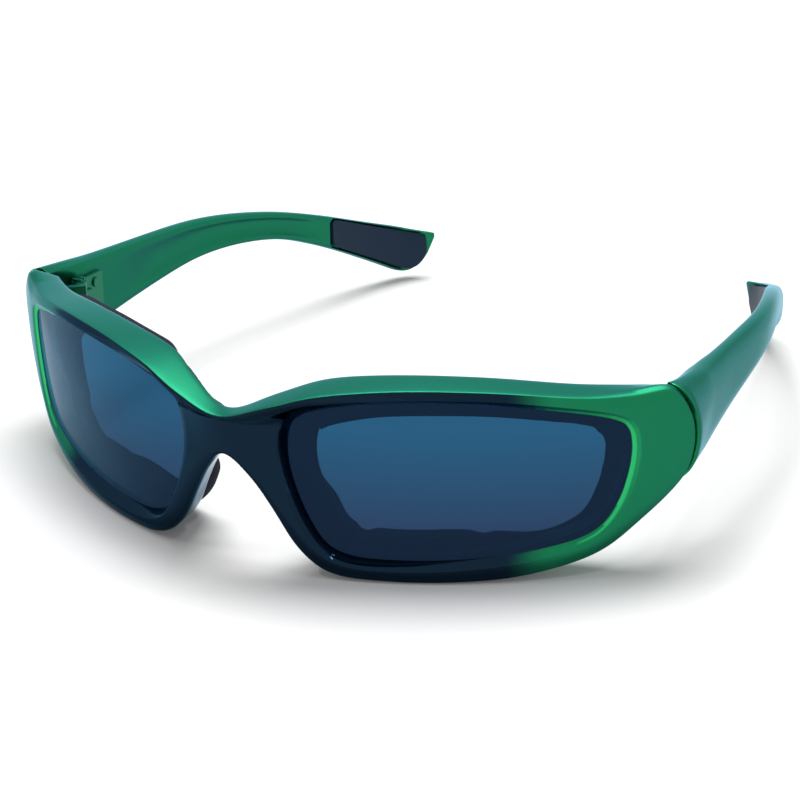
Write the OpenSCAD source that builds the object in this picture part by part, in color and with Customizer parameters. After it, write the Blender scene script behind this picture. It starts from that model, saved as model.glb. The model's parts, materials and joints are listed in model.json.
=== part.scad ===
// Wrap-around motorcycle sunglasses with foam-sealed eyecups and folding temples.
// Millimetres. X runs across the face (+X is the wearer's left), the front looks
// along -Y and +Z is up. The pair stands on its rims and temple tips at z = 0.

/* [Front curve] */
// Angle through which each half of the front finally turns back
wrap_angle = 65; // [55:0.5:72]
// Distance along the front over which the turn fades out
wrap_length = 63; // [55:0.5:75]
// Forward lean of the front, per millimetre of height
lean = 0.025; // [0:0.005:0.06]
// Height about which the front leans
lean_height = 19.6; // [15:0.1:24]

/* [Front frame] */
// Depth of the sloping wall round a lens, at the nose
bevel_depth = 2.2; // [1.6:0.1:2.6]
// Depth of that wall at the temple side
bevel_depth_temple = 0.5; // [0.4:0.1:1.2]
// Distance by which that wall closes in on the lens
bevel_run = 0.9; // [0.4:0.1:1.2]
// Height of the fine bead round each lens opening
bead_height = 0.15; // [0:0.05:0.3]
// Width of the ridge that frames the temple side of an opening
ridge_w = 1.5; // [1:0.1:2]
// Height of that ridge
ridge_height = 0.2; // [0:0.05:0.4]
// Depth of the frame from its front face to the foam seat
seat_depth = 6; // [5.4:0.1:7]
// Depth of the lens groove into the rim
groove_depth = 0.5; // [0.3:0.05:0.7]

/* [Lenses] */
// Thickness of a lens
lens_t = 2; // [1.6:0.1:2.4]
// Forward swell of a lens at its middle
lens_crown = 0.8; // [0:0.1:1.2]
// Gap between a lens and its groove
lens_gap = 0.08; // [0.05:0.01:0.15]

/* [Foam gaskets] */
// Thickness of the adhesive film under the foam
film_t = 0.4; // [0.3:0.05:0.6]
// Height of the foam behind the film
foam_t = 5.5; // [4:0.25:8]
// Mean reach of the foam inside the lens opening
foam_reach = 3.7; // [3:0.1:4.5]
// Reach that the foam gains under the brow and loses at the bottom
foam_reach_up = 1.5; // [0:0.1:2]
// Reach that the foam gains at the nose and loses at the temple side
foam_reach_in = 0.7; // [0:0.1:1]
// Gap between the foam and its neighbours
foam_gap = 0.15; // [0.1:0.05:0.25]
// Depth of the vent notches in the inner edge of the foam
vent_depth = 1; // [0.5:0.1:1.2]
// Width of each vent notch
vent_w = 3; // [2:0.25:5]

/* [Temples] */
// Gap at the butt joint between front and temple
joint_gap = 0.2; // [0.15:0.05:0.4]
// Rounding of the temple's front edge
joint_round = 0.4; // [0.3:0.05:0.9]
// Depth of the long relief on the inner face
relief_depth = 0.9; // [0.4:0.1:1.2]
// Depth of the seat for the rubber pad
pad_seat = 1.1; // [0.8:0.1:1.6]
// Height by which the pad stands proud
pad_proud = 0.35; // [0.1:0.05:0.6]
// Gap between a pad and its seat
pad_gap = 0.12; // [0.05:0.01:0.15]

/* [Hinges] */
// Diameter of the hinge screw
screw_d = 1.4; // [1.2:0.1:1.6]
// Diameter of the screw head
screw_head_d = 2.2; // [2:0.1:2.6]
// Height of the screw head
screw_head_h = 0.6; // [0.4:0.1:0.8]
// Outer diameter of the hinge barrels
barrel_d = 2.8; // [2.4:0.1:3]
// Height of each of the two front barrels
front_barrel_h = 2.2; // [1.8:0.1:2.6]
// Height of the temple barrel between them
temple_barrel_h = 3.6; // [3:0.1:4.2]
// Gap between barrels, end to end
barrel_gap = 0.1; // [0.06:0.02:0.16]
// Radial clearance of the screw in the barrels
bore_gap = 0.05; // [0.02:0.01:0.08]
// Thickness of the hinge leaves
leaf_t = 0.8; // [0.6:0.1:1]
// Distance of the hinge axis behind the outer face of the front
hinge_back = 9.8; // [9.4:0.1:10.2]
// Height of the middle of the hinge
hinge_z = 22.5; // [21.5:0.1:24]
// Diameter of the rivets that hold the leaves
rivet_d = 1.2; // [1:0.1:1.4]
// Diameter of the rivet heads
rivet_head_d = 1.9; // [1.6:0.1:2.2]
// Height of the rivet heads
rivet_head_h = 0.35; // [0.2:0.05:0.5]
// Distance between the two rivets of a leaf
rivet_pitch = 4.8; // [4.4:0.1:5.2]
// Length of a rivet in the plastic
rivet_len = 2; // [1.4:0.1:2.6]

/* [Hidden] */

// Lens opening as [distance along the front, height], from the upper nose corner
// over the brow, down the temple side and back along the bottom and nose
opening_outline = [
    [9.5, 25.6], [11.2, 27.5], [15.2, 29.2], [25.2, 31.0], [41.0, 31.0], [54.5, 29.2],
    [61.8, 27.4], [64.2, 25.4], [64.9, 22.7], [64.9, 20.0], [64.4, 16.8], [63.2, 12.8],
    [60.6, 8.6], [56.2, 5.9], [47.2, 4.0], [36.4, 2.9], [26.0, 2.6], [19.4, 3.0],
    [15.2, 4.9], [12.3, 9.0], [10.2, 13.9], [9.0, 18.4], [8.8, 22.2]];

// Outer edge of the front facing each point of the opening, with the form of the rim
// there as [along, height, swell, back behind the foam seat, edge radius, flare]
rim_outline = [
    [0, 27.1, 2.8, -5, 0.6, 0.2], [8, 29.7, 2.5, -2.9, 0.6, 0.5],
    [16, 31.9, 1.0, 0, 0.5, 0.5], [28, 32.9, -0.2, 0.4, 0.4, 0.5],
    [42, 32.5, -0.4, 0.2, 0.4, 0.5], [56, 31.0, -0.1, -0.3, 0.7, 0.4],
    [64.4, 30.9, -0.2, -0.2, 1.6, -0.4], [70.4, 31.2, -0.2, 0, 1.6, -1.6],
    [73.4, 27.8, -0.2, 0, 0.9, -0.8], [74.7, 23.2, -0.1, 0, 0.7, 0],
    [74.2, 18.2, -0.1, 0, 0.7, 0], [72.2, 14.4, -0.1, 0, 0.9, 0],
    [66.6, 9.0, 0, 0, 1.3, -0.4], [59.2, 3.7, 0, 0, 1.2, -0.6],
    [47.8, 0.8, 0, 0.2, 1.1, -0.6], [37.0, 0, 0, 0.2, 1.0, -0.6],
    [25.6, 0, 0, 0.2, 1.0, -0.6], [16.6, 0.8, 0, 0.2, 1.0, -0.8],
    [11.2, 4.7, 0.1, 0.1, 1.1, -1.2], [7.2, 11.2, 0.3, -0.5, 1.0, -1.2],
    [4.0, 16.2, 0.8, -1.6, 0.9, -0.8], [0, 19.9, 1.6, -3.2, 0.9, -0.3]];

// Temple as [y behind the joint reference, inner face x, outer face x, bottom, top]
temple_line = [
    [9.0, 58.8, 63.8, 15.2, 29.8], [14.0, 58.8, 63.2, 15.7, 29.3],
    [24.3, 58.8, 62.3, 17.0, 28.7], [35.0, 58.4, 61.8, 18.3, 28.1],
    [46.1, 57.7, 61.0, 19.3, 27.3], [57.0, 55.6, 58.9, 19.2, 25.9],
    [67.9, 52.7, 56.0, 17.7, 23.7], [76.0, 50.4, 53.7, 14.9, 21.4],
    [84.0, 48.2, 51.6, 11.4, 18.8], [91.0, 45.9, 49.5, 7.9, 16.3],
    [97.0, 43.4, 47.2, 4.7, 14.2], [102.0, 40.9, 44.8, 1.9, 12.5],
    [105.8, 38.4, 42.2, 0.3, 11.3], [108.8, 35.6, 39.1, 0.0, 10.4]];

// Where the temples start, and the stretches of relief and rubber pad along them. The
// tip turns up over its last stretch, ever faster, to a share of the temple's height
temple_y0 = 33;
relief_from = 24;
relief_to = 80;
pad_from = 82.5;
pad_to = 107.2;
relief_ramp = 1.5;
pad_ramp = 0.5;
tip_round = 7.5;
tip_rise = 0.86;
tip_bend = 2.4;
tip_cap = 0.6;

// How finely the shapes are stepped
rim_steps = 4;
foam_steps = 6;
temple_steps = 2;
curve_step = 0.5;
round_fn = 48;

green = "seagreen";
black = "#10141c";
smoke = "#27466a";
foam_colour = "#23262b";
steel = "silver";
rubber = "#1b2a45";

// Plan curve of the front, its heading and the outward direction
function heading(s) = wrap_angle * (1 - exp(-s / wrap_length));
curve_end = 2 * max([for (row = rim_outline) row[0]]);
plan_curve = [for (i = 0, p = [0, 0]; i * curve_step <= curve_end;
    p = p + curve_step * [cos(heading((i + 0.5) * curve_step)),
        sin(heading((i + 0.5) * curve_step))], i = i + 1) p];
function plan_point(s) = let (k = floor(s / curve_step), f = s / curve_step - k)
    plan_curve[k] * (1 - f) + plan_curve[k + 1] * f;
function outward(s) = [sin(heading(s)), -cos(heading(s))];

// A point at distance s along the front, height z and distance d in front of it
function front_point(s, z, d) = let (sa = abs(s), side = s < 0 ? -1 : 1,
    p = plan_point(sa) + outward(sa) * (d + lean * (z - lean_height)))
    [side * p[0], p[1] - mid_y, z];

// Depth of the pair, shared evenly before and behind the origin
front_y = -rim_outline[0][2] - lean * (rim_outline[0][1] - lean_height);
tip_at = temple_line[len(temple_line) - 1][0];
tip_y = temple_y0 + tip_at + tip_cap;
mid_y = (front_y + tip_y) / 2;

// Smooth curves through points, open or closed
function blend4(a, b, c, d, t) = 0.5 * (2 * b + (c - a) * t
    + (2 * a - 5 * b + 4 * c - d) * t * t + (3 * b - a - 3 * c + d) * t * t * t);
function closed_curve(p, n) = let (m = len(p)) [for (i = [0 : m - 1], k = [0 : n - 1])
    blend4(p[(i + m - 1) % m], p[i], p[(i + 1) % m], p[(i + 2) % m], k / n)];
function open_curve(first, p, last, n) = let (m = len(p), q = concat([first], p, [last]))
    concat([for (i = [0 : m - 2], k = [0 : n - 1])
        blend4(q[i], q[i + 1], q[i + 2], q[i + 3], k / n)], [p[m - 1]]);
function mirrored(row) = [for (i = [0 : len(row) - 1]) i == 0 ? -row[i] : row[i]];

// The rim runs from the top of the bridge round to its underside, and then back
// up the middle plane in two spans, beside the last points of the opening
rim_spans = len(rim_outline) - 1;
bridge_spans = len(opening_outline) - rim_spans;
function opening_curve(n) = closed_curve(opening_outline, n);
function rim_curve(n) = let (top = rim_outline[0], under = rim_outline[rim_spans],
    run = open_curve(mirrored(rim_outline[1]), rim_outline,
        mirrored(rim_outline[rim_spans - 1]), n))
    concat(run, [for (k = [1 : bridge_spans * n - 1])
        let (f = k / (bridge_spans * n)) under * (1 - f) + top * f]);

function unit(v) = v / max(norm(v), 0.0001);
function turned(v) = [v[1], -v[0]];
function wrap_index(i, m) = (i + m) % m;

// Directions in the face of the front that point away from the opening
function opening_normals(o) = let (m = len(o)) [for (i = [0 : m - 1])
    -unit(turned(o[wrap_index(i + 1, m)] - o[wrap_index(i - 1, m)]))];
function flat2(row) = [row[0], row[1]];
function edge_back(row) = -seat_depth - row[3];
function rim_normals(r, n) = let (m = len(r), last = rim_spans * n) [for (i = [0 : m - 1])
    i == 0 ? [0, 1] : i == last ? [0, -1] : i > last ? [-1, 0]
    : -unit(turned(flat2(r[i + 1]) - flat2(r[i - 1])))];

// Section of the rim at one station, from the foot of the bevel over the front
// face, the edge and the back to the lens groove
function rim_section(o, on, r, rn, at_middle) = let (
    rim = flat2(r), swell = r[2], back = edge_back(r), radius = r[4], flare = r[5],
    foot = o - on * bevel_run,
    front_end = at_middle ? rim : rim - rn * radius,
    across = front_end - o,
    ridge_at = min(0.5, o[0] > open_centre[0] ? ridge_w / norm(across) : 0.5),
    ridge = o + across * ridge_at,
    ridge_top = swell * ridge_at + ridge_height,
    crown = (ridge_top + swell) / 2 + crown_rise * norm(front_end - ridge),
    back_end = at_middle ? rim : rim + rn * (flare - back_round),
    groove = o + on * groove_depth)
    [[foot, -bevel_at(foot)], [o - on * 0.12, -bevel_start * bevel_at(o)],
     [o + on * 0.25, bead_height], [ridge, ridge_top],
     [(ridge + front_end) / 2, crown], [front_end, swell],
     [rim - rn * radius * 0.3, swell - radius * 0.3], [rim, swell - radius],
     [rim + rn * flare, back + back_round],
     [rim + rn * (flare - back_round * 0.3), back + back_round * 0.3],
     [back_end, back], [foot, -seat_depth], [foot, -bevel_at(foot) - lens_room],
     [groove, -bevel_at(groove) - lens_room], [groove, -bevel_at(groove)]];
// The bevel starts by a share of its depth, the face swells by a share of its width,
// and the edge of the back is rounded
bevel_start = 0.14;
crown_rise = 0.025;
back_round = 0.7;
edge_first = 5;
edge_last = 10;

// The wall gets shallower evenly from the nose to the temple side
lens_room = lens_t + 2 * lens_gap;
function bevel_at(p) = bevel_depth + (bevel_depth_temple - bevel_depth)
    * (p[0] - min(open_s)) / (max(open_s) - min(open_s));

module front_frame() {
    o = opening_curve(rim_steps);
    r = rim_curve(rim_steps);
    on = opening_normals(o);
    rn = rim_normals(r, rim_steps);
    stations = len(o);
    under = rim_spans * rim_steps;
    sections = [for (i = [0 : stations - 1])
        rim_section(o[i], on[i], r[i], rn[i], i > under)];
    points = len(sections[0]);
    half = [for (sec = sections, p = sec) front_point(max(p[0][0], 0), p[0][1], p[1])];
    others = [for (p = half) [-p[0], p[1], p[2]]];
    function in_middle(i, j) = (i == 0 || i >= under) && j >= edge_first && j <= edge_last;
    function corner(side, i, j) = let (ii = i % stations, jj = j % points,
        k = ii * points + jj) side == 1 && !in_middle(ii, jj) ? k + len(half) : k;
    faces = [for (side = [0, 1], i = [0 : stations - 1], j = [0 : points - 1])
        if (!(in_middle(i, j) && in_middle((i + 1) % stations, j) && in_middle(i, j + 1)))
            let (quad = [corner(side, i, j), corner(side, i + 1, j),
                corner(side, i + 1, j + 1), corner(side, i, j + 1)])
            side == 1 ? quad : [quad[3], quad[2], quad[1], quad[0]]];
    color(green) difference() {
        polyhedron(concat(half, others), faces, convexity = 8);
        both_sides() front_rivet_holes();
    }
}

// A closed band that follows an outline, from sections of equal length
module band(sections) {
    stations = len(sections);
    points = len(sections[0]);
    faces = [for (i = [0 : stations - 1], j = [0 : points - 1])
        [i * points + (j + 1) % points, ((i + 1) % stations) * points + (j + 1) % points,
         ((i + 1) % stations) * points + j, i * points + j]];
    polyhedron([for (sec = sections, p = sec) p], faces, convexity = 6);
}

// Surface of the lens front, swelled between the top and bottom of the opening
open_z = [for (p = opening_outline) p[1]];
open_mid = (max(open_z) + min(open_z)) / 2;
open_half = (max(open_z) - min(open_z)) / 2;
open_s = [for (p = opening_outline) p[0]];
open_centre = [(max(open_s) + min(open_s)) / 2, open_mid];
lens_flat_from = 0.88;
lens_ring_places = [0.25, 0.5, 0.72, lens_flat_from, 1];
function lens_face(p, t) = -bevel_at(p) - lens_gap
    + lens_crown * (1 - min(1, pow(t / lens_flat_from, 2)));

module lens() {
    n = 2;
    o = opening_curve(n);
    on = opening_normals(o);
    rim = [for (i = [0 : len(o) - 1]) o[i] + on[i] * (groove_depth - lens_gap)];
    m = len(rim);
    function ring(t, back) = [for (p = rim) let (q = open_centre + (p - open_centre) * t)
        front_point(q[0], q[1], lens_face(q, t) - back)];
    centre_face = lens_face(open_centre, 0);
    shell = concat([front_point(open_centre[0], open_centre[1], centre_face)],
        [for (t = lens_ring_places) each ring(t, 0)],
        [for (k = [len(lens_ring_places) - 1 : -1 : 0]) each ring(lens_ring_places[k], lens_t)],
        [front_point(open_centre[0], open_centre[1], centre_face - lens_t)]);
    rings = 2 * len(lens_ring_places);
    last = rings * m + 1;
    faces = concat(
        [for (i = [0 : m - 1]) [0, 1 + i, 1 + (i + 1) % m]],
        [for (k = [0 : rings - 2], i = [0 : m - 1])
            [1 + k * m + i, 1 + (k + 1) * m + i, 1 + (k + 1) * m + (i + 1) % m,
             1 + k * m + (i + 1) % m]],
        [for (i = [0 : m - 1]) let (k = 1 + (rings - 1) * m) [k + i, last, k + (i + 1) % m]]);
    color(smoke, 0.75) polyhedron(shell, faces, convexity = 4);
}

// The film lies on the back of the rim, from its inner edge to a share of the way
// to its outer edge. It is narrower under the brow and beside the hinge leaf
film_reach_temple = 2.7;
film_reach_nose = 5.3;
film_share = 0.68;
film_share_brow = 0.4;
function foot_of(o, on) = o - on * bevel_run;
function back_end_of(r, rn) = flat2(r) + (rn[0] == -1 ? [0, 0] : rn * (r[5] - back_round));
function seat_share(o, on, r, rn) = let (width = norm(back_end_of(r, rn) - foot_of(o, on)),
    reach = o[0] > open_centre[0] ? film_reach_temple : film_reach_nose)
    min(film_share + (film_share_brow - film_share) * max(0, on[1]), reach / width);
function film_outer(o, on, r, rn) = let (f = seat_share(o, on, r, rn))
    foot_of(o, on) * (1 - f) + back_end_of(r, rn) * f;
function seat_depth_at(o, on, r, rn) = -seat_depth
    + (edge_back(r) + seat_depth) * seat_share(o, on, r, rn);
function seat_point(o, on, r, rn, f, behind) = let (
    foot = foot_of(o, on), back_end = back_end_of(r, rn))
    front_point(foot[0], foot[1], -seat_depth - behind) * (1 - f)
    + front_point(back_end[0], back_end[1], edge_back(r) - behind) * f;

module gasket_film() {
    n = rim_steps;
    o = opening_curve(n);
    r = rim_curve(n);
    on = opening_normals(o);
    rn = rim_normals(r, n);
    color(black) band([for (i = [0 : len(o) - 1]) let (f = seat_share(o[i], on[i], r[i], rn[i]))
        [for (c = [[0, foam_gap], [f, foam_gap], [f, foam_gap + film_t], [0, foam_gap + film_t]])
            seat_point(o[i], on[i], r[i], rn[i], c[0], c[1])]]);
}

// The foam covers the film and reaches on into the opening, with vent notches in
// the lower part of its inner edge and a rounded crown towards the face
vent_places = [20.6, 41.8];
foam_crown = [[1, 0.25], [0.92, 0.6], [0.7, 0.88], [0.45, 1], [0.2, 0.88], [0.04, 0.5]];
function in_vent(p) = p[1] < open_mid
    && len([for (v = vent_places) if (abs(p[0] - v) < vent_w / 2) v]) > 0;
function foam_inner(o, on) = o - on * (foam_reach + foam_reach_up * on[1]
    - foam_reach_in * on[0] - (in_vent(o) ? vent_depth : 0));

module foam_gasket() {
    o = opening_curve(foam_steps);
    r = rim_curve(foam_steps);
    on = opening_normals(o);
    rn = rim_normals(r, foam_steps);
    under = film_t + 2 * foam_gap;
    far = -seat_depth - under - foam_t;
    color(foam_colour) band([for (i = [0 : len(o) - 1]) let (
        inner = foam_inner(o[i], on[i]), outer = film_outer(o[i], on[i], r[i], rn[i]),
        f = seat_share(o[i], on[i], r[i], rn[i]), d_in = -seat_depth - under,
        d_out = seat_depth_at(o[i], on[i], r[i], rn[i]) - under)
        concat([front_point(inner[0], inner[1], d_in),
                seat_point(o[i], on[i], r[i], rn[i], 0, under),
                seat_point(o[i], on[i], r[i], rn[i], f, under)],
            [for (q = foam_crown) let (p = inner * (1 - q[0]) + outer * q[0],
                base = q[0] > 0.6 ? d_out : d_in)
                front_point(p[0], p[1], base * (1 - q[1]) + far * q[1])])]);
}

// Each temple section is a ladder of levels with an outer and an inner point
levels = [0, 0.03, 0.1, 0.2, 0.28, 0.39, 0.5, 0.61, 0.72, 0.8, 0.9, 0.97, 1];
function outer_fill(v) = 0.12 + 0.88 * sqrt(1 - pow(abs(2 * v - 1), 3.4));
function inner_fill(v) = v == 0 || v == 1 ? 0.3 : v == 0.03 || v == 0.97 ? 0.8 : 1;
function ramp(y, from, to, run) = min(1, max(0, (y - from) / run), max(0, (to - y) / run));
function cut_in(v, y) =
    (v > 0.25 && v < 0.75 ? relief_depth * ramp(y, relief_from, relief_to, relief_ramp) : 0)
    + (abs(v - 0.5) < pad_half(y) ? pad_seat * ramp(y, pad_from, pad_to, pad_ramp) : 0);

// Half height of the pad seat, as a share of the temple, lower at its two ends
pad_ends = [pad_from, pad_from + pad_ramp, pad_to - pad_ramp, pad_to];
function pad_half(y) = y > pad_ends[1] + end_part && y < pad_ends[2] - end_part ? 0.45 : 0.32;
end_part = 0.1;

// The butt joint follows the temple side of the rim, between two rows of its table.
// The inner side of the temple stands back there, to clear the hinge barrels
joint_top = 7;
joint_bottom = 11;
joint_relief = 1.1;
function rim_at(k) = let (i = floor(k), f = k - i, q = rim_outline)
    blend4(q[i - 1], q[i], q[i + 1], q[i + 2], f);
function joint_point(v, fill, inset, ahead) = let (
    r = rim_at(joint_bottom - (joint_bottom - joint_top) * v),
    depth = r[2] - edge_back(r), middle = r[2] - depth / 2,
    reach = depth / 2 - inset - (fill < 0 ? joint_relief : 0))
    front_point(r[0] + joint_gap + ahead, r[1] + r[5] * max(0, -fill), middle + fill * reach);

temple_curve = open_curve(2 * temple_line[0] - temple_line[1], temple_line,
    2 * temple_line[len(temple_line) - 1] - temple_line[len(temple_line) - 2], temple_steps);
function row_at(y) = [for (k = [0 : 4]) lookup(y, [for (row = temple_curve) [row[0], row[k]]])];
function rows_between(from, to) = [for (row = temple_curve)
    if (row[0] > from + end_part && row[0] < to - end_part) row];
function pad_rows() = concat([row_at(pad_ends[1])], rows_between(pad_ends[1], pad_ends[2]),
    [row_at(pad_ends[2])]);
function temple_rows() = concat(rows_between(0, pad_from), [row_at(pad_from)], pad_rows(),
    [row_at(pad_to)], rows_between(pad_to, 2 * tip_at));
function temple_point(row, v, side) = let (
    y = row[0], tip = max(0, (y - (tip_at - tip_round)) / tip_round),
    low = row[3] + (row[4] - row[3]) * tip_rise * pow(min(1, tip), tip_bend),
    z = low + (row[4] - low) * v,
    middle = (row[1] + row[2]) / 2, reach = (row[2] - row[1]) / 2,
    thin = 1 - 0.45 * pow(tip, 3))
    side > 0 ? [middle + reach * thin * outer_fill(v), y + temple_y0 - mid_y, z]
    : [middle - reach * thin * inner_fill(v) + cut_in(v, y), y + temple_y0 - mid_y, z];
function middle_of(ps) = [for (p = ps) 1] * ps / len(ps);
function ladder(outer, inner) = concat(outer,
    [for (k = [len(inner) - 1 : -1 : 0]) inner[k]]);

// A solid through ladders, closed at both ends by rungs
module ladder_solid(sections) {
    n = len(sections);
    m = len(sections[0]);
    sides = [for (i = [0 : n - 2], j = [0 : m - 1]) let (
        a = i * m + j, b = i * m + (j + 1) % m, c = b + m, d = a + m)
        each [[a, b, d], [b, c, d]]];
    first = [for (j = [0 : m / 2 - 2]) [m - 1 - j, m - 2 - j, j + 1, j]];
    last = [for (j = [0 : m / 2 - 2]) let (b = (n - 1) * m)
        [b + j, b + j + 1, b + m - 2 - j, b + m - 1 - j]];
    polyhedron([for (sec = sections, p = sec) p], concat(sides, first, last), convexity = 6);
}

module temple() {
    start = [for (e = [[joint_round, 0], [0, joint_round]]) ladder(
        [for (v = levels) joint_point(v, outer_fill(v), e[0], e[1])],
        [for (v = levels) joint_point(v, -inner_fill(v), e[0], e[1])])];
    body = [for (row = temple_rows()) ladder(
        [for (v = levels) temple_point(row, v, 1)],
        [for (v = levels) temple_point(row, v, -1)])];
    tip = body[len(body) - 1];
    tip_middle = middle_of(tip);
    cap = [for (p = tip) tip_middle + (p - tip_middle) * tip_cap + [0, tip_cap, 0]];
    color(green) difference() {
        ladder_solid(concat(start, body, [cap]));
        temple_rivet_holes();
    }
}

// The pad leans against the sloping walls of its seat, and its face is the wider side
module temple_pad() {
    places = [-1, -0.7, 0, 0.7, 1];
    function pad_outer(row, k) = let (v = 0.5 + places[k] * (pad_half(row[0]) - seat_margin))
        temple_point(row, v, -1) - [pad_gap, 0, 0];
    function pad_inner(row, k) = let (v = 0.5 + places[k] * (pad_half(row[0]) - face_margin))
        temple_point(row, v, -1) - [pad_seat + pad_proud * (1 - pow(abs(2 * v - 1), 3)), 0, 0];
    color(rubber) ladder_solid([for (row = pad_rows()) ladder(
        [for (k = [0 : 4]) pad_outer(row, k)], [for (k = [0 : 4]) pad_inner(row, k)])]);
}
// Shares of the temple's height that the pad's back and face leave free at the seat edge
seat_margin = 0.11;
face_margin = 0.06;

// Hinge place: the axis stands behind the joint, and the front leaf lies on the back
// of the end piece beside it
leaf_len = 5.2;
leaf_gap = 0.05;
leaf_clear = 0.4;
ear_t = 1.4;
hinge_s = rim_outline[9][0] + joint_gap / 2;
hinge_at = front_point(hinge_s, lean_height, -hinge_back);
leaf_s = hinge_s - barrel_d / 2 - leaf_clear - leaf_len / 2;
hinge_turn = heading(leaf_s);
stack_h = 2 * front_barrel_h + temple_barrel_h + 2 * barrel_gap;
stack_z = hinge_z - stack_h / 2;
bore_d = screw_d + 2 * bore_gap;
// Length by which a cut runs on past what it cuts
overcut = 1;
module at_hinge() {
    translate([hinge_at[0], hinge_at[1], 0]) children();
}
module along_front() {
    at_hinge() rotate([0, 0, hinge_turn]) children();
}

// Both leaves are plates with a barrel or two on short ears and two rivet holes
leaf_start = barrel_d / 2 + leaf_clear;
rivet_at = leaf_start + 0.6 * leaf_len;
rivet_places = [hinge_z - rivet_pitch / 2, hinge_z + rivet_pitch / 2];
leaf_seat = front_point(leaf_s, hinge_z - stack_h / 2, -seat_depth) - hinge_at;
front_leaf_y = leaf_seat[1] * cos(hinge_turn) - leaf_seat[0] * sin(hinge_turn) + 2 * leaf_gap;
front_barrels = [stack_z, stack_z + front_barrel_h + temple_barrel_h + 2 * barrel_gap];
temple_barrel_z = stack_z + front_barrel_h + barrel_gap;
temple_face_x = temple_line[0][1] - hinge_at[0];

module barrels(places, h) {
    for (z = places) translate([0, 0, z]) cylinder(d = barrel_d, h = h, $fn = round_fn);
}
module screw_bore() {
    translate([0, 0, stack_z - overcut])
        cylinder(d = bore_d, h = stack_h + 2 * overcut, $fn = round_fn);
}
module on_front_leaf() {
    for (z = rivet_places) translate([-rivet_at, front_leaf_y + leaf_t, z])
        rotate([90, 0, 0]) children();
}
module on_temple_leaf() {
    for (z = rivet_places) translate([temple_face_x - leaf_gap - leaf_t, rivet_at, z])
        rotate([0, 90, 0]) children();
}
module rivet_hole() {
    translate([0, 0, -overcut]) cylinder(d = rivet_d + 2 * leaf_gap,
        h = rivet_len + leaf_t + leaf_gap + overcut, $fn = round_fn);
}
module rivet() {
    cylinder(d = rivet_d, h = rivet_len + leaf_t, $fn = round_fn);
    translate([0, 0, -rivet_head_h]) cylinder(d = rivet_head_d, h = rivet_head_h, $fn = round_fn);
}
module front_rivet_holes() {
    along_front() on_front_leaf() rivet_hole();
}
module temple_rivet_holes() {
    at_hinge() on_temple_leaf() rivet_hole();
}

module hinge_front_leaf() {
    color(steel) along_front() difference() {
        union() {
            translate([-leaf_start - leaf_len, front_leaf_y, stack_z])
                cube([leaf_len, leaf_t, stack_h]);
            barrels(front_barrels, front_barrel_h);
            for (z = front_barrels) {
                translate([-leaf_start - ear_t, front_leaf_y, z])
                    cube([ear_t, ear_t / 2 - front_leaf_y, front_barrel_h]);
                translate([-leaf_start, -ear_t / 2, z]) cube([leaf_start, ear_t, front_barrel_h]);
            }
        }
        screw_bore();
        on_front_leaf() rivet_hole();
    }
}

module hinge_temple_leaf() {
    leaf_x = temple_face_x - leaf_gap - leaf_t;
    color(steel) at_hinge() difference() {
        union() {
            translate([leaf_x, leaf_start, stack_z]) cube([leaf_t, leaf_len, stack_h]);
            barrels([temple_barrel_z], temple_barrel_h);
            translate([leaf_x + leaf_t - ear_t, 0, temple_barrel_z])
                cube([ear_t, leaf_start + ear_t, temple_barrel_h]);
        }
        screw_bore();
        on_temple_leaf() rivet_hole();
    }
}

module front_leaf_rivets() {
    color(steel) both_sides() along_front() on_front_leaf() rivet();
}
module temple_leaf_rivets() {
    color(steel) at_hinge() on_temple_leaf() rivet();
}

module hinge_screw() {
    slot_w = 0.4;
    slot_d = 0.3;
    color(steel) at_hinge() difference() {
        union() {
            translate([0, 0, stack_z]) cylinder(d = screw_d, h = stack_h, $fn = round_fn);
            translate([0, 0, stack_z + stack_h])
                cylinder(d = screw_head_d, h = screw_head_h, $fn = round_fn);
        }
        translate([-screw_head_d, -slot_w / 2, stack_z + stack_h + screw_head_h - slot_d])
            cube([2 * screw_head_d, slot_w, screw_head_h]);
    }
}

module both_sides() {
    children();
    mirror([1, 0, 0]) children();
}

front_frame();
lens();  // lens_left
mirror([1, 0, 0]) lens();  // lens_right
gasket_film();  // gasket_film_left
mirror([1, 0, 0]) gasket_film();  // gasket_film_right
foam_gasket();  // foam_gasket_left
mirror([1, 0, 0]) foam_gasket();  // foam_gasket_right
hinge_front_leaf();  // hinge_front_leaf_left
mirror([1, 0, 0]) hinge_front_leaf();  // hinge_front_leaf_right
front_leaf_rivets();
hinge_screw();  // hinge_screw_left
mirror([1, 0, 0]) hinge_screw();  // hinge_screw_right
temple();  // temple_left
mirror([1, 0, 0]) temple();  // temple_right
hinge_temple_leaf();  // hinge_temple_leaf_left
mirror([1, 0, 0]) hinge_temple_leaf();  // hinge_temple_leaf_right
temple_leaf_rivets();  // temple_leaf_rivets_left
mirror([1, 0, 0]) temple_leaf_rivets();  // temple_leaf_rivets_right
temple_pad();  // temple_pad_left
mirror([1, 0, 0]) temple_pad();  // temple_pad_right
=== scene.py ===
# %% [markdown]
# # Riding sunglasses, dressed for the studio
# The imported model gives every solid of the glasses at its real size. This lesson gives
# those solids smooth surfaces, two-tone paint, tinted lenses and porous foam, and sets
# up the camera, the floor and the light.

import json
from math import radians

import bpy
import numpy as np
from mathutils import Matrix, Vector
from mathutils.kdtree import KDTree

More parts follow.
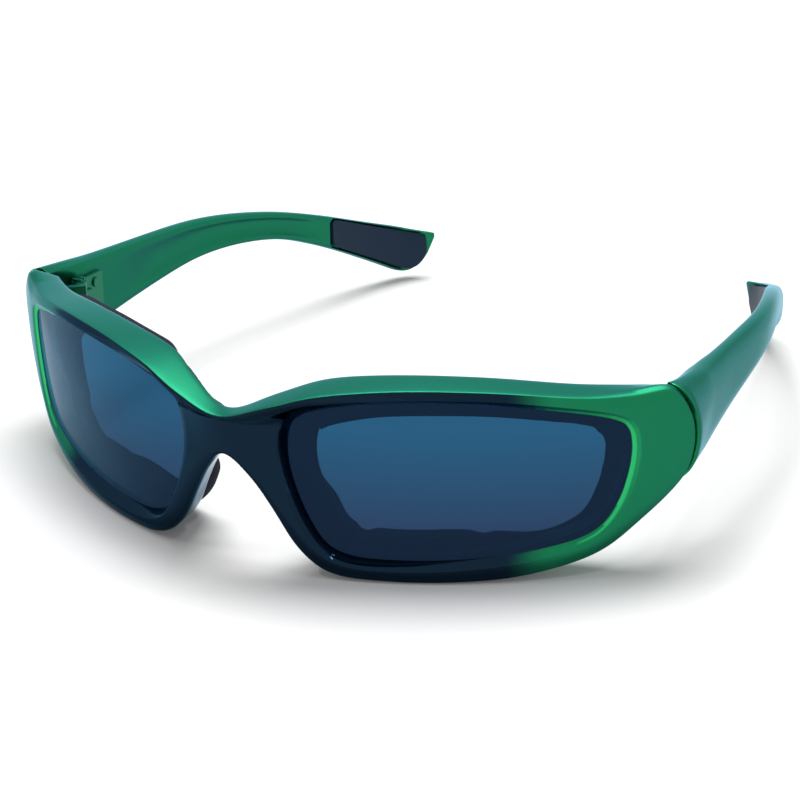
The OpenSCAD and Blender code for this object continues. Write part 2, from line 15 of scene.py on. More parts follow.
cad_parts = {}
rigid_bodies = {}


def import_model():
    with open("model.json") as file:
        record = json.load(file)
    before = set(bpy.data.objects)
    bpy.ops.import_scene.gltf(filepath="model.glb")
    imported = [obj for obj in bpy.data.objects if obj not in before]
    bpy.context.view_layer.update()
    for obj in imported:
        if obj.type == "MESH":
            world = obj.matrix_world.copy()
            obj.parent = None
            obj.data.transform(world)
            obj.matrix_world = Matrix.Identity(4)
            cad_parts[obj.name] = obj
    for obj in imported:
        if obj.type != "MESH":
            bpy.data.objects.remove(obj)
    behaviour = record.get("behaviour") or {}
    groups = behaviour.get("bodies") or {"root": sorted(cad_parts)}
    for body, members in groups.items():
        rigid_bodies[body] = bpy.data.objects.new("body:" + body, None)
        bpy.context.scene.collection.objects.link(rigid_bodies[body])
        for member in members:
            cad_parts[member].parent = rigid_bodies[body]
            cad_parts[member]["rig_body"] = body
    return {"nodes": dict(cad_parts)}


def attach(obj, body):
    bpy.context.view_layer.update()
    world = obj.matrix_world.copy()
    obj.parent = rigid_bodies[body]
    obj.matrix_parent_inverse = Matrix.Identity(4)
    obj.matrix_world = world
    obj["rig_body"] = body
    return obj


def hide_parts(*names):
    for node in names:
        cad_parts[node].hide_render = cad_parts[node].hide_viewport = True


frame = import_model()
scene = bpy.context.scene
MM = 0.001
SIDES = ("left", "right")
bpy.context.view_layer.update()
bpy.ops.object.select_all(action="DESELECT")

# %% [markdown]
# ## Camera
# The photograph looks down on the front from the wearer's left. The camera turns about
# a point between the lenses, so its place follows from three angles and one distance.

# %% Camera
VIEW_TARGET = Vector((8.94, -29.71, 15.50)) * MM
VIEW_AZIMUTH = radians(28.46)
VIEW_ELEVATION = radians(22.52)
VIEW_ROLL = radians(-0.55)
VIEW_DISTANCE = 339.5 * MM
LENS_LENGTH = 89.23
SENSOR_WIDTH = 36.0
CLIP_START = 10 * MM

turn = (Matrix.Rotation(VIEW_AZIMUTH, 4, "Z")
        @ Matrix.Rotation(radians(90) - VIEW_ELEVATION, 4, "X")
        @ Matrix.Rotation(VIEW_ROLL, 4, "Z"))
bpy.ops.object.camera_add()
camera = bpy.context.object
camera.name = "photo_camera"
camera.data.lens = LENS_LENGTH
camera.data.sensor_width = SENSOR_WIDTH
camera.data.clip_start = CLIP_START
camera.matrix_world = (Matrix.Translation(VIEW_TARGET) @ turn
                       @ Matrix.Translation((0, 0, VIEW_DISTANCE)))
scene.camera = camera
print("camera at", [round(c, 4) for c in camera.matrix_world.translation])

# %% [markdown]
# ## Places on the front
# The front is a flat outline wrapped round the face, so a place on it is best told by
# its distance along the wrap. The same curve that shaped the frame is walked here in
# small steps, and any point is then looked up by its nearest step. Lengths on the curve
# are in millimetres.

# %% Distance along the wrapped front
WRAP_ANGLE = 65
WRAP_LENGTH = 63
WRAP_END = 85
WRAP_STEP = 0.25
WRAP_MIDDLE_Y = -69.71


def heading(along):
    """Direction of the front at each distance from the middle, in radians."""
    return np.radians(WRAP_ANGLE * (1 - np.exp(-along / WRAP_LENGTH)))


wrap_s = np.arange(0, WRAP_END, WRAP_STEP)
wrap_heading = heading(wrap_s + WRAP_STEP / 2)
steps = np.stack([np.cos(wrap_heading), np.sin(wrap_heading)], axis=1) * WRAP_STEP
wrap_points = np.vstack([[0, 0], np.cumsum(steps, axis=0)[:-1]]) + [0, WRAP_MIDDLE_Y]


def seen_from_above(places):
    """Each place on the plan, in millimetres, with the right side laid over the left."""
    return np.stack([np.abs(places[:, 0]), places[:, 1]], axis=1) / MM


def along_front(places):
    """Distance of each place along the front, in millimetres."""
    flat = seen_from_above(places)
    away = (flat[:, :1] - wrap_points[:, 0]) ** 2 + (flat[:, 1:] - wrap_points[:, 1]) ** 2
    return wrap_s[np.argmin(away, axis=1)]


print("the wrap ends at", wrap_points[-1].round(1), "mm")

# %% [markdown]
# ## Smooth copies of the moulded pieces
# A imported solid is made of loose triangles. A copy of it is merged, turned back into
# four-sided faces and subdivided, which gives the long clean highlights of moulded
# plastic. A bevel would only round the edges, and leave the facets of the broad faces.
# Edges that turn sharply get a crease first, so they stay crisp.

# %% Helper: a smooth copy of a solid
MERGE_DISTANCE = 0.005 * MM
QUAD_TURN = radians(60)
QUAD_SKEW = radians(120)
SMOOTH_LEVELS = 2
SHADED_SMOOTH = radians(40)


def smooth_copy(node, name, sharp_from, crease, soft_spans=()):
    """A merged and subdivided copy of a solid, which then stands for that solid.

    Within soft_spans, stretches along Y, no edge keeps its crease.
    """
    piece = bpy.data.objects.new(name, frame["nodes"][node].data.copy())
    scene.collection.objects.link(piece)
    bpy.ops.object.select_all(action="DESELECT")
    piece.select_set(True)
    bpy.context.view_layer.objects.active = piece
    bpy.ops.object.mode_set(mode="EDIT")
    bpy.ops.mesh.select_all(action="SELECT")
    bpy.ops.mesh.remove_doubles(threshold=MERGE_DISTANCE)
    bpy.ops.mesh.tris_convert_to_quads(face_threshold=QUAD_TURN, shape_threshold=QUAD_SKEW,
                                       topology_influence=1)
    bpy.ops.mesh.select_mode(type="EDGE")
    bpy.ops.mesh.select_all(action="DESELECT")
    bpy.ops.mesh.edges_select_sharp(sharpness=radians(sharp_from))
    if soft_spans:
        bpy.ops.object.mode_set(mode="OBJECT")
        for edge in piece.data.edges:
            middle = sum(piece.data.vertices[v].co.y for v in edge.vertices) / 2
            if any(low < middle < high for low, high in soft_spans):
                edge.select = False
        bpy.ops.object.mode_set(mode="EDIT")
    bpy.ops.transform.edge_crease(value=crease)
    bpy.ops.object.mode_set(mode="OBJECT")
    bpy.ops.object.shade_smooth()
    rounding = piece.modifiers.new("rounding", "SUBSURF")
    rounding.levels = rounding.render_levels = SMOOTH_LEVELS
    bpy.ops.object.modifier_apply(modifier=rounding.name)
    # The flat normals of the solid would show its facets again.
    if "custom_normal" in piece.data.attributes:
        piece.data.attributes.remove(piece.data.attributes["custom_normal"])
    bpy.ops.object.shade_smooth_by_angle(angle=SHADED_SMOOTH)
    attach(piece, frame["nodes"][node]["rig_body"])
    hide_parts(node)
    print(name, "has", len(piece.data.polygons), "faces")
    return piece


# %% [markdown]
# The front and the arms are moulded plastic, and each arm holds a rubber pad near its
# tip. The arms have two stretches whose edges are rounded over: the relief along the
# inside, and the tip.

# %% The front, the arms and the ear pads
RELIEF_SPAN = (-20 * MM, 44.5 * MM)
TIP_SPAN = (66 * MM, 80 * MM)
front = smooth_copy("front_frame", "front", sharp_from=32, crease=0.8)
arms = [smooth_copy(f"temple_{side}", f"arm_{side}", sharp_from=40,
                    crease=0.9, soft_spans=(RELIEF_SPAN, TIP_SPAN)) for side in SIDES]
pads = [smooth_copy(f"temple_pad_{side}", f"ear_pad_{side}", sharp_from=50,
                    crease=0.9) for side in SIDES]

# %% [markdown]
# ## Lenses and foam
# The lenses are cut from sheet, so their edges keep a full crease. The foam is soft, so
# only its sharpest edges are held, and loosely.

# %% The lenses and the foam eyecups
lenses = [smooth_copy(f"lens_{side}", f"shade_{side}", sharp_from=50, crease=1)
          for side in SIDES]
eyecups = [smooth_copy(f"foam_gasket_{side}", f"eyecup_{side}", sharp_from=60, crease=0.5)
           for side in SIDES]

# %% [markdown]
# The next shapes are moved point by point, by rules that say how far a point moves at
# its place on the front. A table of all points at once is quicker than a loop, and
# smooth steps and bells leave no kinks in the surface.

# %% Helpers: tables of points, and directions on the front
SEAT_DEPTH = 6.7


def smoothstep(value, low, high):
    """From 0 at low to 1 at high, without a kink at either end."""
    t = np.clip((value - low) / (high - low), 0, 1)
    return t * t * (3 - 2 * t)


def bell(value, middle, width):
    """1 at the middle, falling away smoothly on both sides."""
    return np.exp(-((value - middle) / width) ** 2)


def vertex_table(piece, what):
    """The piece's vertex positions or normals as a table of three columns."""
    table = np.empty(len(piece.data.vertices) * 3, np.float32)
    piece.data.vertices.foreach_get(what, table)
    return table.reshape(-1, 3)


def store_places(piece, places):
    """Puts the piece's vertices at these places."""
    piece.data.vertices.foreach_set("co", places.ravel())
    piece.data.update()


def front_directions(places):
    """Distance along the front, its heading, its outward direction and the depth behind the
    foam seat, for each place."""
    along = along_front(places)
    turned = heading(along)
    outward = np.stack([np.sin(turned), -np.cos(turned)], axis=1)
    point = np.stack([np.interp(along, wrap_s, wrap_points[:, k]) for k in (0, 1)], axis=1)
    flat = seen_from_above(places) - point
    return along, turned, outward, -(flat * outward).sum(axis=1) - SEAT_DEPTH


# %% [markdown]
# A moulded eyecup has two walls, one that faces the eye and an outer one. Seen from the
# middle of the eye, each has a radius at every angle. They are measured in sectors, and
# the wall that faces the eye is rounded off in the upper outer corner.

# %% Helper: the walls of an eyecup
EYE_MIDDLE = (38, 15.5)
SECTORS = 180
SOFTNESS = 6
CORNER_ANGLE = 19
CORNER_WIDTH = 18


def walls_at(angle, radius):
    """Radius of the wall that faces the eye, of the same wall rounded, and of the outer one."""
    sector = np.clip(((angle + 180) / 360 * SECTORS).astype(int), 0, SECTORS - 1)
    inner = np.full(SECTORS, np.inf)
    outer = np.zeros(SECTORS)
    np.minimum.at(inner, sector, radius)
    np.maximum.at(outer, sector, radius)
    middle = (np.arange(SECTORS) + 0.5) * 360 / SECTORS - 180
    gap = (middle[:, None] - middle + 180) % 360 - 180
    weight = bell(gap, 0, SOFTNESS)
    soft = weight @ inner / weight.sum(axis=1)
    rounded = inner + (soft - inner) * bell(middle, CORNER_ANGLE, CORNER_WIDTH)
    return [np.interp(angle, middle, table, period=360) for table in (inner, rounded, outer)]


# %% [markdown]
# The foam is full above and below the eye. It thins out towards the top of the nose,
# where the brow of the frame hides it, and it is low beside the eye, where air comes
# in. Its points there move forwards, towards the frame. Only the wall that faces the
# eye moves up or down: it hangs lower in the upper outer corner and leaves more room
# below. The outer wall stays under the valley between the brows.

# %% Shape the foam
NOSE_ALONG = (14, 26)
NOSE_HEIGHT = (9, 18)
NOSE_SHARE = 0.95
SIDE_ALONG = (34, 53)
SIDE_HEIGHT = (19, 24)
SIDE_SHARE = 0.75
INNER_WALL = (0.4, 1)
FLOOR_ANGLE = -35
FLOOR_WIDTH = 18
FLOOR_MOVE = (1.0, -0.9)
VALLEY_ALONG = (15, 7)
VALLEY_HEIGHT = 20
VALLEY_SQUEEZE = 0.32


def moved_forwards(along, height, behind):
    """How far the foam moves towards the frame, in millimetres."""
    nose = (1 - smoothstep(along, *NOSE_ALONG)) * smoothstep(height, *NOSE_HEIGHT)
    side = smoothstep(along, *SIDE_ALONG) * (1 - smoothstep(height, *SIDE_HEIGHT))
    return np.maximum(NOSE_SHARE * nose, SIDE_SHARE * side) * np.maximum(behind, 0)


def moved_across(along, height):
    """How far the foam moves along the front and upwards, in millimetres."""
    across, up = along - EYE_MIDDLE[0], height - EYE_MIDDLE[1]
    radius, angle = np.hypot(across, up), np.degrees(np.arctan2(up, across))
    low, rounded, high = walls_at(angle, radius)
    inner = 1 - smoothstep((radius - low) / (high - low), *INNER_WALL)
    inward = (high - radius) * ((high - rounded) / (high - low) - 1)
    shift = np.outer(inner * bell(angle, FLOOR_ANGLE, FLOOR_WIDTH), FLOOR_MOVE)
    shift -= np.stack([across, up], axis=1) * (inward / radius)[:, None]
    over_valley = np.maximum(height - VALLEY_HEIGHT, 0) * (1 - inner)
    shift[:, 1] -= VALLEY_SQUEEZE * over_valley * smoothstep(along, *VALLEY_ALONG)
    return shift.T


for cup in eyecups:
    places = vertex_table(cup, "co")
    along, turned, outward, behind = front_directions(places)
    height = places[:, 2] / MM
    forward = moved_forwards(along, height, behind)
    sideways, upwards = moved_across(along, height)
    side_sign = np.sign(places[:, 0])
    places[:, 0] += side_sign * (forward * outward[:, 0] + sideways * np.cos(turned)) * MM
    places[:, 1] += (forward * outward[:, 1] + sideways * np.sin(turned)) * MM
    places[:, 2] += upwards * MM
    store_places(cup, places)
    print(cup.name, "thinned by up to", round(float(forward.max()), 2), "mm")

# %% [markdown]
# ## Tips and ear pads
# Each rubber pad is moulded into its seat with hardly a gap, so the pad grows in height
# until it nearly meets the walls of its seat. The upper corner of each ear tip is blunt,
# and the arm and its pad are pressed back there together.

# %% Fill the seats with the pads
PAD_GROWTH = 1.07
for pad in pads:
    places = vertex_table(pad, "co")
    slope, level = np.polyfit(places[:, 1], places[:, 2], 1)
    centre = places[:, 1] * slope + level
    places[:, 2] = centre + (places[:, 2] - centre) * PAD_GROWTH
    store_places(pad, places)
print("pads are", PAD_GROWTH, "times as high")

# %% Blunt the tips
TIP_ALONG = (63 * MM, 72.7 * MM)
TIP_RISE = (2 * MM, 11 * MM)
TIP_BACK = 1.4 * MM
for piece in (*arms, *pads):
    places = vertex_table(piece, "co")
    back = smoothstep(places[:, 1], *TIP_ALONG) * smoothstep(places[:, 2], *TIP_RISE)
    places[:, 1] -= TIP_BACK * back
    store_places(piece, places)
print("tips shortened by", TIP_BACK / MM, "mm")

# %% [markdown]
# ## Where the paint turns from green to black
# The frame is sprayed green, and black over the front faces. The green stays on the
# top of the brow, behind its sharp front edge, and on the outer ends, and the sloping
# walls round the lenses are black. A picture painted by hand would need an unwrapped
# surface, so a number on each vertex says how green it is.

# %% Green share on the front
FADE_ALONG = (44, 52)
BROW_UPWARD = (0.62, 0.76)
BROW_BACKWARD = (0.1, 0.3)
BROW_HEIGHT = 18
LENS_CENTRE = (36.8, 16.8)
WALL_FACING = (0.6, 0.85)


def facing_lens(places, facing):
    """How far each surface faces the middle of its lens, from -1 to 1."""
    along, turned = front_directions(places)[:2]
    sideways = (facing[:, 0] * np.sign(places[:, 0]) * np.cos(turned)
                + facing[:, 1] * np.sin(turned))
    to_lens = np.stack([LENS_CENTRE[0] - along, LENS_CENTRE[1] - places[:, 2] / MM], axis=1)
    to_lens /= np.linalg.norm(to_lens, axis=1, keepdims=True)
    return sideways * to_lens[:, 0] + facing[:, 2] * to_lens[:, 1]


def set_number(piece, name, values):
    """Stores a number on each vertex of the piece."""
    numbers = piece.data.attributes.new(name, "FLOAT", "POINT")
    numbers.data.foreach_set("value", np.asarray(values, np.float32))


places = vertex_table(front, "co")
facing = vertex_table(front, "normal")
ends = smoothstep(along_front(places), *FADE_ALONG)
upward = smoothstep(facing[:, 2], *BROW_UPWARD)
backward = smoothstep(facing[:, 1], *BROW_BACKWARD)
brow = np.maximum(upward, backward) * (places[:, 2] / MM > BROW_HEIGHT)
walls = smoothstep(facing_lens(places, facing), *WALL_FACING)
green = np.maximum(ends, brow) * (1 - walls)
set_number(front, "green_share", green)
for arm in arms:
    set_number(arm, "green_share", np.ones(len(arm.data.vertices)))
print("green part of the front:", round(float(green.mean()), 2))

# %% [markdown]
# A highlight is painted as a brighter green on the raised bead round each lens and on
# the sharp edge at the end of each arm, where it meets the front. Both are found by
# their distance to the neighbouring piece.

# %% Painted highlights on the bead and the joint edges
BEAD_REACH = (0.78, 0.5)
BEAD_BEHIND = 0.65
BEAD_FACING = -0.6
JOINT_REACH = (0.55, 0.35)


def distance_to(piece, others):
    """Millimetres from each vertex of a piece to the nearest vertex of the others."""
    points = [vertex.co for other in others for vertex in other.data.vertices]
    tree = KDTree(len(points))
    for index, point in enumerate(points):
        tree.insert(point, index)
    tree.balance()
    return np.array([tree.find(vertex.co)[2] for vertex in piece.data.vertices]) / MM


behind_face = front_directions(places)[3] + SEAT_DEPTH
bead_highlight = (smoothstep(distance_to(front, lenses), *BEAD_REACH) * (behind_face < BEAD_BEHIND)
        * (facing[:, 1] < BEAD_FACING))
set_number(front, "painted_highlight", bead_highlight)
for arm in arms:
    set_number(arm, "painted_highlight", smoothstep(distance_to(arm, [front]), *JOINT_REACH))
print("bead points:", int((bead_highlight > 0.5).sum()))

# %% [markdown]
# ## Materials
# Small helpers keep the node trees readable: one makes a material with its Principled
# shader, one adds a node and sets its inputs by name, and two mix numbers and colours.

# %% Helpers for materials


def add_node(tree, kind, **inputs):
    """A node of that kind with some of its inputs set."""
    node = tree.nodes.new(kind)
    for name, value in inputs.items():
        node.inputs[name.replace("_", " ")].default_value = value
    return node


def new_material(name, **inputs):
    """A material, its node tree and its Principled shader."""
    material = bpy.data.materials.new(name)
    material.use_nodes = True
    tree = material.node_tree
    shader = tree.nodes["Principled BSDF"]
    for key, value in inputs.items():
        shader.inputs[key.replace("_", " ")].default_value = value
    return material, tree, shader


def dress(pieces, material):
    """Gives each piece that one material."""
    for piece in pieces:
        piece.data.materials.clear()
        piece.data.materials.append(material)
    print(material.name, "is on", len(pieces), "pieces")


def vertex_number(tree, name):
    """The number of that name that is stored on each vertex."""
    node = tree.nodes.new("ShaderNodeAttribute")
    node.attribute_name = name
    return node.outputs["Fac"]


def mix_values(tree, factor, low, high, start=0, end=1):
    """A number that goes from low to high as the factor goes from start to end."""
    node = add_node(tree, "ShaderNodeMapRange", From_Min=start, From_Max=end,
                    To_Min=low, To_Max=high)
    tree.links.new(factor, node.inputs["Value"])
    return node.outputs["Result"]


def mix_colours(tree, factor, low, high):
    """A colour between low and high, each a plain colour or the output of a node."""
    node = tree.nodes.new("ShaderNodeMix")
    node.data_type = "RGBA"
    for name, colour in (("A", low), ("B", high)):
        if isinstance(colour, tuple):
            node.inputs[name].default_value = colour
        else:
            tree.links.new(colour, node.inputs[name])
    tree.links.new(factor, node.inputs["Factor"])
    return node.outputs["Result"]


# %% [markdown]
# ### Fine surface grain
# No moulded surface is a perfect mirror or an even tone. One shared group gives a fine
# bump, a slight change of roughness and flecks in a colour, which each material sets to
# its own scale and depth.

# %% Group: surface grain
GRAIN_HEIGHT = 0.1 * MM
grain = bpy.data.node_groups.new("surface_grain", "ShaderNodeTree")
for name, kind, start in (("Colour", "NodeSocketColor", (0.5, 0.5, 0.5, 1)),
                          ("Fleck", "NodeSocketFloat", 0.0),
                          ("Scale", "NodeSocketFloat", 900.0), ("Depth", "NodeSocketFloat", 0.1),
                          ("Roughness", "NodeSocketFloat", 0.3),
                          ("Variation", "NodeSocketFloat", 0.05)):
    socket = grain.interface.new_socket(name, in_out="INPUT", socket_type=kind)
    socket.default_value = start
grain.interface.new_socket("Colour", in_out="OUTPUT", socket_type="NodeSocketColor")
grain.interface.new_socket("Roughness", in_out="OUTPUT", socket_type="NodeSocketFloat")
grain.interface.new_socket("Normal", in_out="OUTPUT", socket_type="NodeSocketVector")
entry = grain.nodes.new("NodeGroupInput")
leave = grain.nodes.new("NodeGroupOutput")
place = grain.nodes.new("ShaderNodeTexCoord")
noise = add_node(grain, "ShaderNodeTexNoise", Detail=3.0)
grain.links.new(place.outputs["Object"], noise.inputs["Vector"])
grain.links.new(entry.outputs["Scale"], noise.inputs["Scale"])


def noise_times(amount):
    """A node that multiplies the noise by that input of the group, and adds a third value."""
    node = grain.nodes.new("ShaderNodeMath")
    node.operation = "MULTIPLY_ADD"
    grain.links.new(noise.outputs["Fac"], node.inputs[0])
    grain.links.new(entry.outputs[amount], node.inputs[1])
    return node


bump = add_node(grain, "ShaderNodeBump", Distance=GRAIN_HEIGHT)
grain.links.new(entry.outputs["Depth"], bump.inputs["Strength"])
grain.links.new(noise.outputs["Fac"], bump.inputs["Height"])
spread = noise_times("Variation")
grain.links.new(entry.outputs["Roughness"], spread.inputs[2])
brighter = noise_times("Fleck")
brighter.inputs[2].default_value = 1.0
flecked = grain.nodes.new("ShaderNodeHueSaturation")
grain.links.new(entry.outputs["Colour"], flecked.inputs["Color"])
grain.links.new(brighter.outputs["Value"], flecked.inputs["Value"])
grain.links.new(flecked.outputs["Color"], leave.inputs["Colour"])
grain.links.new(spread.outputs["Value"], leave.inputs["Roughness"])
grain.links.new(bump.outputs["Normal"], leave.inputs["Normal"])


def add_grain(tree, shader, **inputs):
    """Places the grain group in a material and joins it to the shader."""
    group = tree.nodes.new("ShaderNodeGroup")
    group.node_tree = grain
    for name, value in inputs.items():
        group.inputs[name].default_value = value
    tree.links.new(group.outputs["Roughness"], shader.inputs["Roughness"])
    tree.links.new(group.outputs["Normal"], shader.inputs["Normal"])
    if "Colour" in inputs:
        tree.links.new(group.outputs["Colour"], shader.inputs["Base Color"])
    return group


print("grain group has", len(grain.nodes), "nodes")

# %% [markdown]
# ### Two-tone paint
# The green is a pearl paint: it is a deep green where it faces the eye and turns to
# teal where the surface slants away, and at the steepest slant a painted reflection in
# pale cyan. A ramp over the slant gives that change in one material, from any side.
# The black is plain gloss with a bluish sheen. The green share mixes the two, and a
# brighter green is painted on the bead and the joint edges as a highlight.

# %% Pearl colour with a painted reflection
# The last stop, pale cyan, is a painted reflection at grazing slants.
PEARL_AND_REFLECTION = ((0.0, (0.010, 0.19, 0.08, 1)), (0.35, (0.010, 0.165, 0.085, 1)),
         (0.55, (0.006, 0.128, 0.08, 1)), (0.75, (0.012, 0.18, 0.15, 1)),
         (1.0, (0.2, 0.5, 0.6, 1)))


def pearl_and_reflection_colour(tree):
    """A colour that follows the slant of the surface: pearl green, with a painted
    reflection in pale cyan where the surface slants furthest away.
    """
    slant = add_node(tree, "ShaderNodeLayerWeight", Blend=0.5)
    ramp = tree.nodes.new("ShaderNodeValToRGB")
    ramp.color_ramp.interpolation = "EASE"
    while len(ramp.color_ramp.elements) < len(PEARL_AND_REFLECTION):
        ramp.color_ramp.elements.new(0.5)
    for stop, (position, colour) in zip(ramp.color_ramp.elements, PEARL_AND_REFLECTION):
        stop.position = position
        stop.color = colour
    tree.links.new(slant.outputs["Facing"], ramp.inputs["Fac"])
    return ramp.outputs["Color"]


print("pearl colour has", len(PEARL_AND_REFLECTION), "stops")

# %% Two-tone paint
BLACK_PAINT = (0.007, 0.018, 0.034, 1)
PAINT_EDGE = (0.55, 0.68, 0.78, 1)
# A brighter green, painted on the bead and the joint edges as a highlight.
PAINTED_HIGHLIGHT_GREEN = (0.03, 0.5, 0.16, 1)
PAINT_IOR = 1.2
GREEN_METAL = 0.85
GREEN_ROUGHNESS = 0.4
BLACK_ROUGHNESS = 0.05
GREEN_COAT = 0.05

paint, tree, shader = new_material("two_tone_paint", Specular_Tint=PAINT_EDGE,
                                   IOR=PAINT_IOR, Coat_Roughness=0.05, Coat_IOR=PAINT_IOR)
grain_node = add_grain(tree, shader, Scale=1500.0, Depth=0.04, Variation=0.05)
green_share = vertex_number(tree, "green_share")
# The painted highlight on the bead and the joint edges is mixed into the green.
green_paint_and_highlights = mix_colours(tree, vertex_number(tree, "painted_highlight"), pearl_and_reflection_colour(tree), PAINTED_HIGHLIGHT_GREEN)
both_tones = mix_colours(tree, green_share, BLACK_PAINT, green_paint_and_highlights)
tree.links.new(both_tones, shader.inputs["Base Color"])
tree.links.new(mix_values(tree, green_share, 1, GREEN_METAL), shader.inputs["Metallic"])
tree.links.new(mix_values(tree, green_share, BLACK_ROUGHNESS, GREEN_ROUGHNESS),
               grain_node.inputs["Roughness"])
tree.links.new(mix_values(tree, green_share, 0, GREEN_COAT), shader.inputs["Coat Weight"])
dress([front, *arms], paint)

# %% [markdown]
# ### Smoke lenses
# Tinted plastic lets light through and takes some of its colour at each face. The tint
# is a little deeper at the bottom. The lenses have a real thickness, so a refracting
# shader fits them better than a see-through mix. A faint blue glow is painted into the
# lenses: it stands for the haze of reflected and scattered light over dark parts.

# %% Smoke lenses
TINT_TOP = (0.013, 0.077, 0.148, 1)
TINT_BOTTOM = (0.018, 0.035, 0.078, 1)
TINT_HEIGHTS = (8 * MM, 25 * MM)
LENS_SHEEN = (0.1, 0.6, 1.0, 1)
# Painted light: the lenses glow faintly blue, for the haze over dark parts.
LENS_PAINTED_GLOW = (0.007, 0.014, 0.029, 1)
LENS_IOR = 1.08

smoke, tree, shader = new_material("smoke_lens", Transmission_Weight=1.0, IOR=LENS_IOR,
                                   Roughness=0.0, Specular_Tint=LENS_SHEEN,
                                   Sheen_Weight=0.55, Sheen_Roughness=0.42,
                                   Sheen_Tint=LENS_SHEEN,
                                   Emission_Color=LENS_PAINTED_GLOW, Emission_Strength=1.0)
place = tree.nodes.new("ShaderNodeTexCoord")
split = tree.nodes.new("ShaderNodeSeparateXYZ")
tree.links.new(place.outputs["Object"], split.inputs["Vector"])
level = mix_values(tree, split.outputs["Z"], 0, 1, *TINT_HEIGHTS)
tint = mix_colours(tree, level, TINT_BOTTOM, TINT_TOP)
tree.links.new(tint, shader.inputs["Base Color"])
dress(lenses, smoke)

# %% [markdown]
# ### Foam, film and rubber
# The foam is dull, with a grain of about a quarter of a millimetre. The film that holds
# it is a dark and nearly even sheet. The rubber of the pads is denser than the foam, so
# its grain is shallower and its shine a little stronger. Each is the shared grain with
# its own colour, scale and depth.

# %% Foam
FOAM_DARK = (0.0065, 0.0093, 0.018, 1)
foam, tree, shader = new_material("closed_cell_foam", Specular_IOR_Level=0.12)
add_grain(tree, shader, Colour=FOAM_DARK, Fleck=0.5, Scale=4200.0, Depth=0.5, Roughness=0.8,
          Variation=0.15)
dress(eyecups, foam)

# %% Adhesive film
FILM_BLACK = (0.0052, 0.0062, 0.009, 1)
film, tree, shader = new_material("adhesive_film", Specular_IOR_Level=0.2)
add_grain(tree, shader, Colour=FILM_BLACK, Fleck=0.3, Scale=700.0, Depth=0.1, Roughness=0.5,
          Variation=0.1)
dress([frame["nodes"][f"gasket_film_{side}"] for side in SIDES], film)

# %% Pad rubber
RUBBER_BLUE = (0.0026, 0.0104, 0.028, 1)
RUBBER_EDGE = (0.5, 0.75, 1.0, 1)
rubber, tree, shader = new_material("pad_rubber", Specular_IOR_Level=0.3,
                                    Specular_Tint=RUBBER_EDGE)
add_grain(tree, shader, Colour=RUBBER_BLUE, Fleck=0.3, Scale=2400.0, Depth=0.2, Roughness=0.45,
          Variation=0.1)
dress(pads, rubber)

# %% [markdown]
# ### Hinges
# The hinge leaves, screws and rivets are sprayed with the frame, so they carry the same
# pearl green, with its painted pale cyan reflection at the steepest slant. They are small
# and keep the crisp edges of their solids.

# %% Painted hinges
painted, tree, shader = new_material("painted_hinge", Metallic=GREEN_METAL)
tree.links.new(pearl_and_reflection_colour(tree), shader.inputs["Base Color"])
add_grain(tree, shader, Scale=1200.0, Depth=0.1, Roughness=0.3, Variation=0.1)
dress([node for name, node in frame["nodes"].items() if "hinge" in name or "rivets" in name],
      painted)

# %% [markdown]
# ## Floor and light
# The glasses stand on a white table in a white room. Rays that start at the camera, or
# that leave a mirror or pass through glass, meet a plain white room. All other light is
# set separately, so the room can be white and still throw soft shadows. Away from the
# glasses the table fades into the white of the room.

# %% Helper: which rays see the white room


def rays_that_see_white(tree):
    """A value of 1 for camera, mirror and glass rays, and 0 for all the others."""
    path = tree.nodes.new("ShaderNodeLightPath")
    white = path.outputs["Is Camera Ray"]
    for kind in ("Is Glossy Ray", "Is Transmission Ray"):
        either = tree.nodes.new("ShaderNodeMath")
        either.operation = "MAXIMUM"
        tree.links.new(white, either.inputs[0])
        tree.links.new(path.outputs[kind], either.inputs[1])
        white = either.outputs["Value"]
    return white


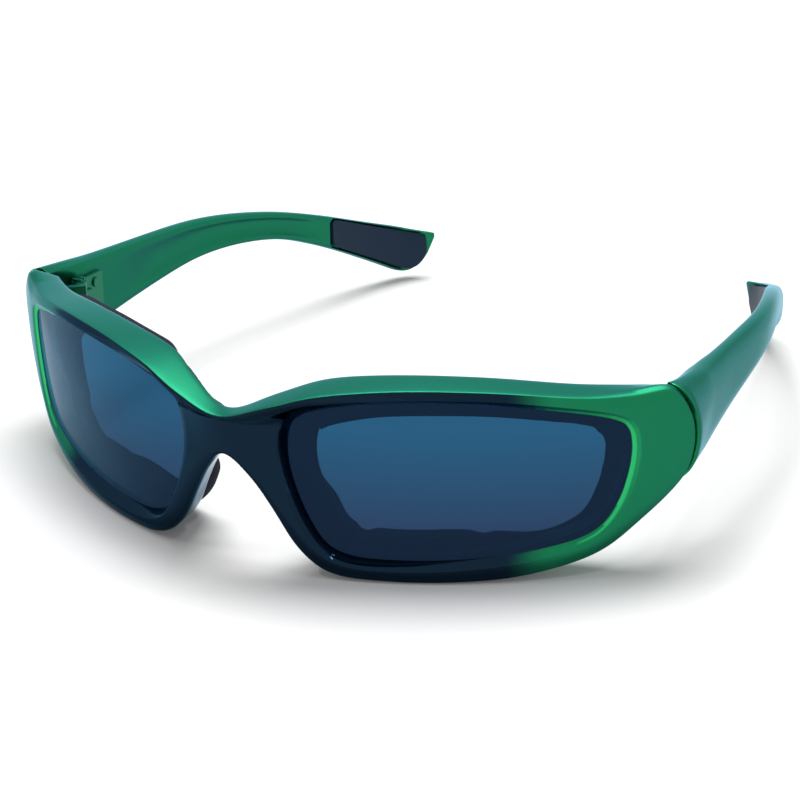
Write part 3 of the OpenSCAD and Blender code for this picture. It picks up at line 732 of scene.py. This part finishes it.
# %% Floor
FLOOR_SIZE = 3.0
FLOOR_GLOW = 0.06
FADE_REACH = (0.3, 0.8)
bpy.ops.mesh.primitive_plane_add(size=FLOOR_SIZE)
floor = bpy.context.object
floor.name = "table_top"
white, tree, shader = new_material("white_table", Base_Color=(0.9, 0.9, 0.9, 1), Roughness=0.9,
                                   Specular_IOR_Level=0.0, Emission_Color=(1, 1, 1, 1))
place = tree.nodes.new("ShaderNodeTexCoord")
reach = tree.nodes.new("ShaderNodeVectorMath")
reach.operation = "LENGTH"
tree.links.new(place.outputs["Object"], reach.inputs[0])
fade = mix_values(tree, reach.outputs["Value"], FLOOR_GLOW, 1, *FADE_REACH)
glow = mix_values(tree, rays_that_see_white(tree), 0, 1)
tree.links.new(fade, glow.node.inputs["To Max"])
tree.links.new(glow, shader.inputs["Emission Strength"])
dress([floor], white)

# %% World
ROOM_LIGHT = 0.26
world = bpy.data.worlds.new("studio")
scene.world = world
world.use_nodes = True
tree = world.node_tree
background = tree.nodes["Background"]
background.inputs["Color"].default_value = (1, 1, 1, 1)
tree.links.new(mix_values(tree, rays_that_see_white(tree), ROOM_LIGHT, 1),
               background.inputs["Strength"])
scene.view_settings.view_transform = "Standard"
print("room light:", ROOM_LIGHT)

# %% [markdown]
# One large softbox behind the glasses lights the brow and throws the shadow forwards.
# Three narrow strips give the short glints of the creases and the lower rims. Each lamp
# has a place, a long and a short side, and a power in watts.

# %% Lamps
LAMP_TARGET = Vector((0, -0.03, 0.02))
LAMPS = (("top_softbox", (-0.1, 0.27, 1.24), (0.9, 0.7), 15),
         ("crease_strip", (-0.12, 0.02, 0.6), (0.3, 0.03), 0.35),
         ("left_strip", (-0.26, -0.25, 0.5), (0.1, 0.02), 0.25),
         ("right_strip", (0.28, -0.08, 0.54), (0.1, 0.02), 0.25))
for name, place, sides, power in LAMPS:
    bpy.ops.object.light_add(type="AREA", location=place)
    lamp = bpy.context.object
    lamp.name = name
    lamp.data.shape = "RECTANGLE"
    lamp.data.size, lamp.data.size_y = sides
    lamp.data.energy = power
    lamp.visible_camera = False
    lamp.rotation_euler = (LAMP_TARGET - Vector(place)).to_track_quat("-Z", "Y").to_euler()
print("lamps:", len(LAMPS))
